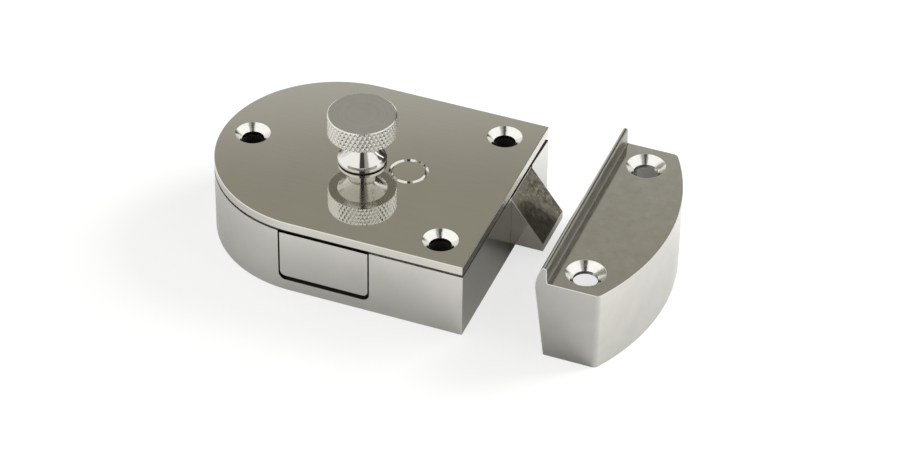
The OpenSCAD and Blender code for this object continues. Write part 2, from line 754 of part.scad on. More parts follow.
// Hollow of the keeper, open at the back and at the mouth side, where a lintel closes its upper part
module keeper_hollow() {
    inner_half = keeper_half - keeper_wall;
    lintel_x = keeper_x + lintel;
    block([keeper_left - cut, -inner_half, -cut], [lintel_x + cut, inner_half, mouth_top]);
    translate([0, 0, -cut]) linear_extrude(keeper_h - keeper_plate + cut) intersection() {
        keeper_plan(keeper_back);
        translate([lintel_x, -inner_half]) square([keeper_depth, 2 * inner_half]);
    }
}

// The places of the keeper's two screws
module at_keeper_screws() {
    for (side = [-1, 1])
        translate([keeper_x + keeper_screw_x, side * keeper_screw_spacing / 2, 0]) children();
}

module keeper() color(steel) difference() {
    intersection() {
        translate([0, keeper_half + cut, 0]) rotate([90, 0, 0])
            linear_extrude(keeper_w + 2 * cut) keeper_profile();
        linear_extrude(keeper_h + 2 * lip_rise) keeper_plan(0);
    }
    keeper_hollow();
    at_keeper_screws()
        sunk_hole(keeper_hole_d, keeper_sink_d, keeper_h, keeper_h - keeper_plate - cut);
}

case_body();
cover_plate();
cover_screws();
cover_bush();
floor_bush();
latch_bolt();
bolt_spring();
spring_rod();
spindle();
follower();
bolt_drive_pin();
button_drive_pin();
knob();
knob_grub_screw();
knob_washer();
push_button();
button_plunger();
plunger_screws();
guide_pins();
button_springs();
keeper();
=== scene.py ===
"""Looks of the gate latch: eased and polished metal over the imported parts, a knurled knob, coil springs,
a pale floor and soft studio light. Sizes in millimetres are turned into metres when a mesh is made."""
import json
import math

import bmesh
import bpy
import numpy as np
from mathutils import Matrix, Vector, geometry


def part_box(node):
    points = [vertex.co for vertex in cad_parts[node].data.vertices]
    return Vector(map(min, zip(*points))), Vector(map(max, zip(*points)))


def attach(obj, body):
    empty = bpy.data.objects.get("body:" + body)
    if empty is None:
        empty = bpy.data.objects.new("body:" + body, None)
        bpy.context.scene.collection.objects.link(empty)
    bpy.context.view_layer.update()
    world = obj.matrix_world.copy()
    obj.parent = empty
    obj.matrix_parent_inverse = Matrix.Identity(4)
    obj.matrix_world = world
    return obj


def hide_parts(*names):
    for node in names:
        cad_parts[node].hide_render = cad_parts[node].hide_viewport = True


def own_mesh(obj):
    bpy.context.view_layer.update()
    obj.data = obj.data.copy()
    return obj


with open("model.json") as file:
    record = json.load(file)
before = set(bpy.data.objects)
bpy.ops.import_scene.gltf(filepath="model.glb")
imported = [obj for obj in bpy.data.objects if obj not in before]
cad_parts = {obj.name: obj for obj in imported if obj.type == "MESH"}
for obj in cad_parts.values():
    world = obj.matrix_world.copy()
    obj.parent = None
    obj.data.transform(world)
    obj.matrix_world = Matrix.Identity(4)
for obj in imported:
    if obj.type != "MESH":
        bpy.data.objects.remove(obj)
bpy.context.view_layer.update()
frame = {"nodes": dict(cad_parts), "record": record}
MM = 0.001
MOUNTS = {mount["name"]: mount for mount in frame["record"]["mounts"]}


def box_mm(node):
    """The lowest and highest corner of a CAD node, in millimetres."""
    low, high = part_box(node)
    return np.array(low) / MM, np.array(high) / MM


# Sizes in millimetres

# The case and its cover

cover_low, cover_high = box_mm("cover_plate")
STRIKE_X = cover_high[0]
HALF_W = cover_high[1]
ROUND_X = cover_low[0] + HALF_W
COVER_UNDER = cover_low[2]
COVER_TOP = cover_high[2]
COVER_EASE = 0.22
COVER_CORNER_R = 0.35
SEAM_GAP = 0.38
SEAM_DEEP = 0.25
SEAM_TALL = 0.25
SCREW_R = MOUNTS["case_screws"]["dims"]["hole_r_mm"]
SCREW_Y = MOUNTS["case_screws"]["dims"]["spacing_y_mm"] / 2
REAR_SCREW_X = MOUNTS["case_rear_hole"]["pos_m"][0] / MM
COVER_SCREWS = (0, SCREW_Y), (0, -SCREW_Y), (REAR_SCREW_X, 0)
SINK_R = 4.4
BUSH_R = 4.02
RING_TO_STRIKE = 25.7
RING_X = STRIKE_X - RING_TO_STRIKE
RING_OUT = 4.9
RING_WIDE = 0.94
RING_IN = RING_OUT - RING_WIDE
RING_DEEP = 0.38
RING_SLOPE = 0.45

# The plating

# How far it reaches in from the walls and from the strike face and up from the back, and how far from the
# strike face the cover's edge that is painted darker as shade reaches
PLATED_DEPTH = 1.2
STRIKE_DEPTH = 0.8
BACK_EDGE = 0.3
STRIKE_EDGE = 0.3

# The worn upper edge of the strike wall

# Where it starts beside the bolt, how thick the wall is, how far below the cover the edge lies at the bolt
# and at the corner, how near the cover its points lie in the solid, and how much lower its faces painted
# near-black as shade may lie
WORN_START = 17.9
WORN_WALL = 3.9
WORN_FROM = 0.75
WORN_TO = 1.5
WORN_NEAR = 1.2
WORN_MARGIN = 0.15

# The knob

knob_low, knob_high = box_mm("knob")
KNOB_X = (knob_low[0] + knob_high[0]) / 2
KNOB_R = (knob_high[0] - knob_low[0]) / 2
KNOB_TOP = knob_high[2]
KNOB_FOOT = knob_low[2]
KNOB_HEAD = 5.6
KNOB_BEVEL = 0.24
KNOB_BEVEL_WIDE = 0.34
LOWER_BEVEL = 0.15
KNURLS = 48
KNURL_STEPS = 12
KNURL_TALL = 2.3
KNURL_DEEP = 0.36
KNURL_CREST = 0.16
KNURL_PROUD = 0.05
KNURL_FADE = 0.12
BASE_R = 6.1
BASE_RIM = 1.1
LAND_FALL = 0.38
SHOULDER_R = 5.4
SHOULDER_TALL = 3.5
SHOULDER_PULL = 0.42
NECK_R = 3.5
FLARE_R = 6.2
FLARE_TALL = 3.2
FLARE_PULL = 0.40
STUD_R = 2.52
STUD_RISE = 2.12
CROWN_WIDE = 1.2
GRUB_ROOM = 0.08
GRUB_PROUD = 0.3

# The keeper

keeper_high = box_mm("keeper")[1]
KEEPER_OUT_X = keeper_high[0]
KEEPER_HALF_W = keeper_high[1]
KEEPER_BOW_R = 58.0
KEEPER_TOP = 22.0
# How far below the top it is raw inside, and how far above it the trough behind the lip starts
KEEPER_TOP_DEPTH = 1.0
TROUGH_RISE = 0.05
# The share of y in the normals near the ends of the bowed side
KEEPER_BOW_END = 0.48
KEEPER_SINK_R = 4.8
KEEPER_SINK_REACH = 5.0
KEEPER_SCREW_X = MOUNTS["keeper_screws"]["pos_m"][0] / MM
KEEPER_SCREW_Y = MOUNTS["keeper_screws"]["dims"]["spacing_y_mm"] / 2
KEEPER_SCREWS = (KEEPER_SCREW_X, KEEPER_SCREW_Y), (KEEPER_SCREW_X, -KEEPER_SCREW_Y)

# The springs: how thick the wire is, and how many turns it makes

BOLT_SPRING = 0.8, 6
BUTTON_SPRING = 0.6, 7

# Points nearer than this become one
MERGE = 1e-4

# The share of a direction in a face's normal from which the face leans, faces or looks square that way
LEANING = 0.2
FACING = 0.3
SQUARE_ON = 0.6


# Profiles and meshes


def rotated(vector, angle):
    """A plane vector turned by an angle, counterclockwise."""
    cosine, sine = math.cos(angle), math.sin(angle)
    return np.array([cosine * vector[0] - sine * vector[1], sine * vector[0] + cosine * vector[1]])


def eased(points, radii, steps=4):
    """Points and outward normals along a chain of straight lines whose corners are arcs tangent to both
    lines. Outward is to the right of the way the chain runs. A radius of 0 keeps a corner sharp: it gives
    two points in one place, each with the normal of its own line."""
    points = np.asarray(points, float)
    count = len(points)
    where, normals = [], []
    for i in range(count):
        if i in (0, count - 1):
            ahead = points[1] - points[0] if i == 0 else points[-1] - points[-2]
            ahead = ahead / np.linalg.norm(ahead)
            where.append(points[i])
            normals.append(np.array([ahead[1], -ahead[0]]))
            continue
        before = points[i] - points[i - 1]
        after = points[i + 1] - points[i]
        before = before / np.linalg.norm(before)
        after = after / np.linalg.norm(after)
        turn = math.atan2(before[0] * after[1] - before[1] * after[0], before @ after)
        start_normal = np.array([before[1], -before[0]])
        radius = radii[i]
        if radius == 0:
            where += [points[i], points[i]]
            normals += [start_normal, rotated(start_normal, turn)]
            continue
        side = 1 if turn > 0 else -1
        centre = points[i] - before * radius * math.tan(abs(turn) / 2) - side * start_normal * radius
        for k in range(steps + 1):
            normal = rotated(start_normal, turn * k / steps)
            where.append(centre + side * radius * normal)
            normals.append(normal)
    return np.array(where), np.array(normals)


def bowed(start, pull, end, steps):
    """Points and outward normals along a quadratic curve that leaves its start and meets its end on lines
    through the pull point. Outward is to the right of the way the curve runs."""
    start, pull, end = (np.asarray(p, float) for p in (start, pull, end))
    share = np.linspace(0, 1, steps + 1)[:, None]
    rest = 1 - share
    points = rest ** 2 * start + 2 * share * rest * pull + share ** 2 * end
    way = rest * (pull - start) + share * (end - pull)
    way /= np.linalg.norm(way, axis=1, keepdims=True)
    return points, np.stack([way[:, 1], -way[:, 0]], 1)


def arc_path(centre, radius, start, end, steps):
    """Points and outward normals along an arc between two angles in degrees."""
    angles = np.radians(np.linspace(start, end, steps + 1))
    normals = np.stack([np.cos(angles), np.sin(angles)], 1)
    return np.asarray(centre) + radius * normals, normals


def ring_loop(centre, radius, steps=128):
    """A circle's points, without its closing point."""
    return arc_path(centre, radius, 0, 360, steps)[0][:-1]


def swept(profile, path):
    """A profile of (distance out of the path, height) carried along a plan path: each point is the path's
    point plus the distance times the path's normal."""
    (where, lean), (places, sides) = profile, path
    out = places[None, :, :] + where[:, None, :1] * sides[None, :, :]
    points = np.concatenate([out, np.broadcast_to(where[:, None, 1:], out.shape[:2] + (1,))], 2)
    around = lean[:, None, :1] * sides[None, :, :]
    normals = np.concatenate([around, np.broadcast_to(lean[:, None, 1:], out.shape[:2] + (1,))], 2)
    return points, normals


def turned(profile, centre, steps=128):
    """A profile of (radius, height) turned about an upright axis: each ring is the radius times the cosine
    and sine of evenly spaced angles."""
    sides = arc_path((0, 0), 1, 0, 360, steps)[1]
    return swept(profile, (np.zeros((steps + 1, 2)) + np.asarray(centre), sides))


def grid_faces(rows, columns, first):
    """Four-cornered faces between the neighbours of a grid of points."""
    index = first + np.arange(rows * columns).reshape(rows, columns)
    return np.stack([index[:-1, :-1], index[:-1, 1:], index[1:, 1:], index[1:, :-1]], -1).reshape(-1, 4)


def flat_fill(loops, height, facing):
    """Triangles of a level face bounded by its first loop, with the other loops as its holes."""
    rings = [[Vector((x, y, 0)) for x, y in loop] for loop in loops]
    corners = np.array(geometry.tessellate_polygon(rings))
    flat = np.concatenate([np.asarray(loop, float) for loop in loops])
    points = np.column_stack([flat, np.full(len(flat), float(height))])
    normals = np.tile([0.0, 0.0, float(facing)], (len(points), 1))
    return points, normals, corners


def joined_mesh(name, grids=(), fills=()):
    """One closed mesh from grids of points with their normals and from level fills. Points in one place
    become one vertex, each face is turned to the side its normals point to, and every corner keeps the
    normal that its formula gives."""
    points, normals, faces = [], [], []
    first = 0
    for where, lean in grids:
        rows, columns = where.shape[:2]
        points.append(where.reshape(-1, 3))
        normals.append(lean.reshape(-1, 3))
        faces.append(grid_faces(rows, columns, first))
        first += rows * columns
    for where, lean, corners in fills:
        points.append(where)
        normals.append(lean)
        faces.append(np.column_stack([corners, corners[:, 2:]]) + first)
        first += len(where)
    points = np.concatenate(points)
    normals = np.concatenate(normals)
    faces = np.concatenate(faces)
    a, b, c, d = (points[faces[:, k]] for k in range(4))
    facing = np.cross(c - a, d - b) + np.cross(b - a, c - a) * 1e-3
    wrong = np.einsum("ij,ij->i", facing, normals[faces].sum(1)) < 0
    faces[wrong] = faces[wrong][:, ::-1]
    keys = np.round(points / MERGE).astype(np.int64)
    _, chosen, merged = np.unique(keys, axis=0, return_index=True, return_inverse=True)
    ends = merged.reshape(-1)[faces]
    keep = ends != np.roll(ends, 1, axis=1)
    keep &= (keep.sum(1) >= 3)[:, None]
    sizes = keep.sum(1)
    sizes = sizes[sizes > 0]
    corner_normals = normals[faces[keep]]
    mesh = bpy.data.meshes.new(name)
    mesh.vertices.add(len(chosen))
    mesh.vertices.foreach_set("co", (points[chosen] * MM).astype(np.float32).ravel())
    mesh.loops.add(len(corner_normals))
    mesh.loops.foreach_set("vertex_index", ends[keep].astype(np.int32))
    mesh.polygons.add(len(sizes))
    mesh.polygons.foreach_set("loop_start", (np.cumsum(sizes) - sizes).astype(np.int32))
    mesh.update(calc_edges=True)
    mesh.polygons.foreach_set("use_smooth", np.ones(len(sizes), bool))
    lengths = np.linalg.norm(corner_normals, axis=1, keepdims=True)
    mesh.normals_split_custom_set((corner_normals / np.maximum(lengths, 1e-9)).tolist())
    return mesh


def read_array(collection, attribute, width, kind=np.float32):
    """One attribute of every item of a mesh collection, as an array."""
    values = np.empty(len(collection) * width, kind)
    collection.foreach_get(attribute, values)
    return values.reshape(-1, width) if width > 1 else values


def face_middles(mesh):
    """The middle of every face, in millimetres, and its normal."""
    return read_array(mesh.polygons, "center", 3) / MM, read_array(mesh.polygons, "normal", 3)


def eased_copy(node, width, reshape=None):
    """A copy of a CAD node's mesh with its doubles merged, its level triangles joined and its sharp edges
    rounded, and which of its faces lie on those rounded edges. Reshape may move its points first. The mesh
    is worked at a thousand times its size, where small edges are safe from rounding errors."""
    work = bmesh.new()
    work.from_mesh(frame["nodes"][node].data)
    bmesh.ops.scale(work, vec=(1 / MM,) * 3, verts=work.verts)
    bmesh.ops.remove_doubles(work, verts=work.verts, dist=1e-3)
    bmesh.ops.dissolve_limit(work, angle_limit=math.radians(0.5), verts=work.verts, edges=work.edges)
    for face in work.faces:
        face.smooth = True
    if reshape:
        places = np.array([v.co for v in work.verts])
        for v, place in zip(work.verts, reshape(places)):
            v.co = place
    mesh = bpy.data.meshes.new(node + "_work")
    work.to_mesh(mesh)
    work.free()
    mesh.materials.append(None)
    mesh.materials.append(None)
    holder = bpy.data.objects.new(node + "_work", mesh)
    bpy.context.scene.collection.objects.link(holder)
    ease = holder.modifiers.new("Ease", "BEVEL")
    ease.width = width
    ease.segments = 2
    ease.limit_method = "ANGLE"
    ease.angle_limit = math.radians(32)
    ease.miter_outer = "MITER_ARC"
    ease.material = 1
    weigh = holder.modifiers.new("Flats first", "WEIGHTED_NORMAL")
    weigh.keep_sharp = True
    bpy.context.view_layer.update()
    done = bpy.data.meshes.new_from_object(holder.evaluated_get(bpy.context.evaluated_depsgraph_get()))
    bpy.data.objects.remove(holder)
    done.transform(Matrix.Scale(MM, 4))
    on_edge = read_array(done.polygons, "material_index", 1, np.int32) == 1
    done.polygons.foreach_set("material_index", np.zeros(len(done.polygons), np.int32))
    return done, on_edge


def lay_normals(mesh, wall, reach=0.03):
    """Gives the corners that lie on a smooth wall the wall's own normals. The wall is a function of points
    in millimetres to how far each lies off the wall and the wall's normal there. A corner lies on it when it
    is within reach of it and its face looks the same way."""
    away, own = wall(read_array(mesh.vertices, "co", 3) / MM)
    vertex = read_array(mesh.loops, "vertex_index", 1, np.int32)
    normals = read_array(mesh.corner_normals, "vector", 3)
    sizes = read_array(mesh.polygons, "loop_total", 1, np.int32)
    flats = np.repeat(read_array(mesh.polygons, "normal", 3), sizes, axis=0)
    on_wall = (np.abs(away) < reach)[vertex] & (np.einsum("ij,ij->i", own[vertex], flats) > SQUARE_ON)
    normals[on_wall] = own[vertex][on_wall]
    mesh.normals_split_custom_set(normals.tolist())


def paint(mesh, material, chosen):
    """Gives another finish to the chosen faces."""
    slots = read_array(mesh.polygons, "material_index", 1, np.int32)
    mesh.materials.append(material)
    slots[chosen] = len(mesh.materials) - 1
    mesh.polygons.foreach_set("material_index", slots)


def in_sinks(mesh, places, radius, top, below=0.02):
    """Faces within the countersunk holes at some places, a little below the face that they open in."""
    middles = face_middles(mesh)[0]
    near = [np.hypot(middles[:, 0] - x, middles[:, 1] - y) < radius for x, y in places]
    return np.any(near, axis=0) & (middles[:, 2] < top - below)


def add_piece(name, mesh, body, material, node):
    """Puts a mesh in the scene as a piece that rides on a body and stands for a CAD node."""
    piece = bpy.data.objects.new(name, mesh)
    bpy.context.scene.collection.objects.link(piece)
    mesh.materials.clear()
    mesh.materials.append(material)
    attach(piece, body)
    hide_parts(node)
    return piece


# Node helpers


def set_inputs(tree, node, inputs):
    """Gives a node's inputs plain values, or links them to sockets."""
    for key, value in inputs.items():
        if isinstance(value, bpy.types.NodeSocket):
            tree.links.new(value, node.inputs[key])
        else:
            node.inputs[key].default_value = value


def add_node(tree, kind, inputs=None, **properties):
    """A node with its properties and its inputs set."""
    node = tree.nodes.new(kind)
    for key, value in properties.items():
        setattr(node, key, value)
    set_inputs(tree, node, inputs or {})
    return node


def noise(tree, vector, scale, detail, roughness=0.5):
    """The value of a noise over a place."""
    inputs = {"Vector": vector, "Scale": scale, "Detail": detail, "Roughness": roughness}
    return add_node(tree, "ShaderNodeTexNoise", inputs).outputs["Fac"]


def ranged(tree, value, span, low=0.0, high=1.0, **properties):
    """A value carried from a span to between a low and a high value, and held there at its ends."""
    inputs = {"Value": value, "From Min": span[0], "From Max": span[1], "To Min": low, "To Max": high}
    return add_node(tree, "ShaderNodeMapRange", inputs, **properties).outputs["Result"]


def mixed(tree, share, first, second, kind="RGBA"):
    """A mixture of two colours, or of two values."""
    inputs = {"Factor": share, "A": first, "B": second}
    return add_node(tree, "ShaderNodeMix", inputs, data_type=kind).outputs["Result"]


def scaled(tree, colour, share):
    """A colour made darker or paler by a share."""
    inputs = {0: colour, "Scale": share}
    return add_node(tree, "ShaderNodeVectorMath", inputs, operation="SCALE").outputs["Vector"]


def bumped(tree, height, strength, distance, over=None):
    """A normal bent by a height, over another bent normal if one is given."""
    inputs = {"Height": height, "Strength": strength, "Distance": distance}
    if over is not None:
        inputs["Normal"] = over
    return add_node(tree, "ShaderNodeBump", inputs).outputs["Normal"]


def new_material(name, metallic=0.0):
    """A node material, its tree, its Principled shader and the place on the object."""
    material = bpy.data.materials.new(name)
    material.use_nodes = True
    tree = material.node_tree
    shader = tree.nodes["Principled BSDF"]
    shader.inputs["Metallic"].default_value = metallic
    return material, tree, shader, add_node(tree, "ShaderNodeTexCoord").outputs["Object"]


# Finishes

# Nearly all values of a noise lie within this span
NOISE_SPAN = 0.3, 0.7


def metal(name, colour, roughness, spread, lines=(900, 900, 900), bump=0.02, mottle=0.04, patch=60.0,
          streak=0.0, wavy=None, dim=None, ends=None):
    """Plated metal. Its colour varies softly with a broad noise, its roughness with fine marks from a
    stretched noise, and a shallow bump from the same marks breaks up the mirror image. Spread is how far
    the roughness goes to either side. Lines is how many marks lie in a metre along x, y and z, and bump is
    how strongly they stand out. Mottle is how far the colour drifts to either side, and patch is how many
    patches of it lie in a metre. Streak is how far the marks darken and brighten the colour. Wavy is how
    many waves lie in a metre and how many metres high they are, where hand work left the face uneven. Dim
    is a place along y in millimetres where the colour is darkest, a place where it is whole, and its share
    at the first. Ends are the share of the colour, and the roughness, where the mesh's end_share attribute
    is 1."""
    material, tree, shader, place = new_material(name, metallic=1.0)
    dark = [c * (1 - mottle) for c in colour]
    pale = [min(c * (1 + mottle), 1) for c in colour]
    tint = mixed(tree, noise(tree, place, patch, detail=4.0), (*dark, 1), (*pale, 1))
    stretched = add_node(tree, "ShaderNodeMapping", {"Vector": place, "Scale": lines}).outputs["Vector"]
    marks = noise(tree, stretched, scale=1.0, detail=5.0, roughness=0.6)
    tint = scaled(tree, tint, ranged(tree, marks, NOISE_SPAN, 1 - streak, 1 + streak))
    rough = ranged(tree, marks, NOISE_SPAN, roughness - spread, roughness + spread)
    if ends:
        on_end = add_node(tree, "ShaderNodeAttribute", attribute_name="end_share").outputs["Fac"]
        tint = scaled(tree, tint, ranged(tree, on_end, (0, 1), 1, ends[0]))
        rough = mixed(tree, on_end, rough, ends[1], "FLOAT")
    if dim:
        along = add_node(tree, "ShaderNodeSeparateXYZ", {"Vector": place}).outputs["Y"]
        span = dim[0] * MM, dim[1] * MM
        tint = scaled(tree, tint, ranged(tree, along, span, dim[2], interpolation_type="SMOOTHSTEP"))
    waves = None
    if wavy:
        waves = noise(tree, place, wavy[0], detail=6.0, roughness=0.62)
        waves = bumped(tree, waves, strength=1.0, distance=wavy[1])
    normal = bumped(tree, marks, bump, distance=0.0001, over=waves)
    set_inputs(tree, shader, {"Base Color": tint, "Roughness": rough, "Normal": normal})
    return material


def grained(name, dark, pale, roughness, metallic, scale, detail, relief):
    """A dark matt surface whose colour and height follow one even noise of a scale and detail. Relief is
    the strength and the distance of its bump."""
    material, tree, shader, place = new_material(name, metallic)
    grain = noise(tree, place, scale, detail)
    tint = mixed(tree, grain, (*dark, 1), (*pale, 1))
    normal = bumped(tree, grain, *relief)
    set_inputs(tree, shader, {"Base Color": tint, "Roughness": roughness, "Normal": normal})
    return material


def turned_nickel():
    """Nickel on the turned knob: the neck and base are polished, the knurl is duller, and the top is matt
    with fine rings about the knob's axis. The finish changes with the height, and the rings are a noise of
    the distance from the axis."""
    material, tree, shader, place = new_material("knob_nickel", metallic=1.0)
    to_axis = {"Vector": place, "Location": (-KNOB_X * MM, 0, 0)}
    centred = add_node(tree, "ShaderNodeMapping", to_axis).outputs["Vector"]
    height = add_node(tree, "ShaderNodeSeparateXYZ", {"Vector": centred}).outputs["Z"]
    matt_from, matt_whole = KNOB_TOP - 0.12, KNOB_TOP - 0.06
    on_top = ranged(tree, height, (matt_from * MM, matt_whole * MM))
    dull_from = KNOB_TOP - KNOB_HEAD - FLARE_TALL
    dull_whole = KNOB_TOP - KNOB_HEAD - 0.6 * FLARE_TALL
    on_head = ranged(tree, height, (dull_from * MM, dull_whole * MM))
    patches = noise(tree, place, scale=250.0, detail=4.0)
    tint = mixed(tree, patches, (0.66, 0.65, 0.615, 1), (0.73, 0.72, 0.69, 1))
    level = add_node(tree, "ShaderNodeVectorMath", {0: centred, 1: (1, 1, 0)}, operation="MULTIPLY")
    radius = add_node(tree, "ShaderNodeVectorMath", {0: level.outputs["Vector"]}, operation="LENGTH")
    along = {"W": radius.outputs["Value"], "Scale": 1400.0, "Detail": 5.0, "Roughness": 0.75}
    rings = add_node(tree, "ShaderNodeTexNoise", along, noise_dimensions="1D").outputs["Fac"]
    top_tint = scaled(tree, tint, ranged(tree, rings, NOISE_SPAN, 0.74, 0.86))
    sides_rough = mixed(tree, on_head, 0.07, 0.20, "FLOAT")
    top_rough = ranged(tree, rings, (0, 1), 0.30, 0.42)
    set_inputs(tree, shader, {
        "Base Color": mixed(tree, on_top, tint, top_tint),
        "Roughness": mixed(tree, on_top, sides_rough, top_rough, "FLOAT"),
        "Normal": bumped(tree, rings, strength=on_top, distance=0.00002),
    })
    return material


case_nickel = metal("case_nickel", (0.66, 0.648, 0.615), 0.10, 0.04, (400, 400, 2200), mottle=0.07,
                    patch=160.0)
cover_nickel = metal("cover_nickel", (0.66, 0.645, 0.60), 0.03, 0.012, (110, 2200, 900), bump=0.01,
                     mottle=0.03, patch=90.0, streak=0.012)
# The cover's edge over the strike face: rougher, and painted darker as shade, darkest towards the front
cover_strike_edge = metal("cover_strike_edge", (0.64, 0.62, 0.57), 0.13, 0.06, (900, 160, 900), mottle=0.10,
                          patch=260.0, streak=0.12, dim=(-24, 6, 0.30))
sink_nickel = metal("sink_nickel", (0.78, 0.77, 0.74), 0.15, 0.05, (1800, 1800, 1800), mottle=0.12,
                    patch=900.0, wavy=(1500.0, 0.00002))
# Rubbed eased edges, rougher and painted paler as highlight
rubbed_edge = metal("rubbed_edge", (0.76, 0.75, 0.72), 0.30, 0.06, (1500, 1500, 1500))
bolt_nickel = metal("bolt_nickel", (0.64, 0.62, 0.565), 0.08, 0.04, (200, 2400, 2400), bump=0.03,
                    mottle=0.10, patch=500.0, wavy=(230.0, 0.000025))
# The bolt's scuffed bevel, also painted dark and brown as shade
scuffed_bevel = metal("scuffed_bevel", (0.42, 0.395, 0.33), 0.19, 0.09, (900, 1300, 900), mottle=0.25,
                      patch=420.0, streak=0.12, wavy=(260.0, 0.00004))
# The keeper's plating; its two ends are rougher and painted darker as shade
keeper_nickel = metal("keeper_nickel", (0.63, 0.62, 0.588), 0.11, 0.04, (500, 500, 1800), mottle=0.09,
                      patch=190.0, ends=(0.68, 0.34))
# The trough behind the keeper's lip: rougher, and painted dark as shade
lip_nickel = metal("lip_nickel", (0.34, 0.328, 0.285), 0.38, 0.08, (1500, 300, 1500), mottle=0.14,
                   patch=400.0)
keeper_inside = metal("keeper_inside", (0.42, 0.41, 0.38), 0.42, 0.08, bump=0.2)
knob_nickel = turned_nickel()
screw_steel = metal("screw_steel", (0.55, 0.55, 0.54), 0.28, 0.08, (1500, 1500, 1500), bump=0.08)
bronze = metal("bronze", (0.60, 0.42, 0.20), 0.34, 0.08, (2200, 2200, 2200), bump=0.15)
spring_steel = metal("spring_steel", (0.42, 0.42, 0.43), 0.3, 0.08, (1800, 1800, 1800), bump=0.06)
# Raw casting inside the case; the same near-black is painted shade in the seam under the cover and on the
# worn edge
raw_casting = grained("raw_casting", (0.018, 0.017, 0.015), (0.05, 0.047, 0.042), roughness=0.6,
                      metallic=0.4, scale=900.0, detail=4.0, relief=(0.4, 0.0002))
black_nylon = grained("black_nylon", (0.012, 0.012, 0.012), (0.03, 0.03, 0.03), roughness=0.55,
                      metallic=0.0, scale=3000.0, detail=3.0, relief=(0.2, 0.00005))


# Cover


def case_outline():
    """The D-shaped plan, counterclockwise: two straight sides with small round corners at the strike face
    and a half circle at the other end."""
    corners, sides = eased([(ROUND_X, -HALF_W), (STRIKE_X, -HALF_W), (STRIKE_X, HALF_W), (ROUND_X, HALF_W)],
                           [0, COVER_CORNER_R, COVER_CORNER_R, 0], steps=5)
    bend, bend_sides = arc_path((ROUND_X, 0), HALF_W, 90, 270, 144)
    return np.concatenate([corners, bend[1:]]), np.concatenate([sides, bend_sides[1:]])


def cover_mesh():
    """The cover: its edge is a profile carried along the D plan, each screw hole and the knob's hole is a
    turned profile, the engraved ring is a turned groove, and level fills close the two faces."""
    path = case_outline()
    margin, lip, brim = 0.3, 0.25, 0.12
    rebate = COVER_UNDER + SEAM_GAP
    edge = eased([(-margin, COVER_UNDER), (-SEAM_DEEP, COVER_UNDER), (-SEAM_DEEP, rebate), (0, rebate),
                  (0, COVER_TOP), (-margin, COVER_TOP)], [0, 0, 0, 0.05, COVER_EASE, 0])
    grids = [swept(edge, path)]
    inner = (path[0] - margin * path[1])[:-1]
    top_loops, under_loops = [inner], [inner]
    sink_floor = COVER_TOP - (SINK_R - SCREW_R)
    hole = eased([(SINK_R + lip, COVER_TOP), (SINK_R, COVER_TOP), (SCREW_R, sink_floor),
                  (SCREW_R, COVER_UNDER), (SCREW_R + lip, COVER_UNDER)], [0, 0.1, 0.12, 0.08, 0])
    bore = eased([(BUSH_R + lip, COVER_TOP), (BUSH_R, COVER_TOP), (BUSH_R, COVER_UNDER),
                  (BUSH_R + lip, COVER_UNDER)], [0, 0.1, 0.1, 0])
    holes = [(centre, hole, SINK_R, SCREW_R) for centre in COVER_SCREWS]
    for centre, profile, top_r, under_r in holes + [((KNOB_X, 0), bore, BUSH_R, BUSH_R)]:
        grids.append(turned(profile, centre))
        top_loops.append(ring_loop(centre, top_r + lip))
        under_loops.append(ring_loop(centre, under_r + lip))
    middle = (RING_X, 0)
    floor = COVER_TOP - RING_DEEP
    groove = eased([(RING_OUT + brim, COVER_TOP), (RING_OUT, COVER_TOP), (RING_OUT - RING_SLOPE, floor),
                    (RING_IN + RING_SLOPE, floor), (RING_IN, COVER_TOP), (RING_IN - brim, COVER_TOP)],
                   [0, 0.05, 0.02, 0.02, 0.05, 0])
    grids.append(turned(groove, middle))
    top_loops.append(ring_loop(middle, RING_OUT + brim))
    fills = [
        flat_fill(top_loops, COVER_TOP, 1),
        flat_fill(under_loops, COVER_UNDER, -1),
        flat_fill([ring_loop(middle, RING_IN - brim)], COVER_TOP, 1),
    ]
    return joined_mesh("cover_plate_polished", grids, fills)


def add_cover():
    """The cover: painted near-black below its rebate as the shade of the seam, rougher along its edge over
    the strike face and painted darker there as shade, darkest towards the front, and bright in its
    countersinks."""
    mesh = cover_mesh()
    add_piece("cover_plate_polished", mesh, "case", cover_nickel, "cover_plate")
    middles, normals = face_middles(mesh)
    just_above = 0.01
    above_rebate = middles[:, 2] > COVER_UNDER + SEAM_GAP + just_above
    over_strike = (normals[:, 0] > SQUARE_ON) & (middles[:, 0] > STRIKE_X - STRIKE_EDGE)
    # Painted shade: near-black below the rebate for the seam, darker along the edge over the strike face
    paint(mesh, raw_casting, ~above_rebate)
    paint(mesh, cover_strike_edge, over_strike & above_rebate)
    paint(mesh, sink_nickel, in_sinks(mesh, COVER_SCREWS, SINK_R, COVER_TOP))


# Knob


def wave(x):
    """A straight-sided wave that is 0 at whole numbers and 1 halfway between them."""
    return 1 - np.abs(2 * (x - np.floor(x)) - 1)


def grub_pocket(points, normals):
    """Sinks the far side of the neck round the grub screw: each point within a little more than the screw's
    radius, seen along the screw's axis, moves to the pocket's floor, from which the screw stands proud."""
    low, high = box_mm("knob_grub_screw")
    radius = (high[0] - low[0]) / 2 + GRUB_ROOM
    middle_z = (low[2] + high[2]) / 2
    floor = high[1] - GRUB_PROUD
    off = np.hypot(points[..., 0] - KNOB_X, points[..., 2] - middle_z)
    sunk = (off < radius) & (points[..., 1] > floor)
    points = points.copy()
    points[..., 1] = np.where(sunk, floor, points[..., 1])
    normals = normals.copy()
    normals[sunk] = (0, 1, 0)
    return points, normals


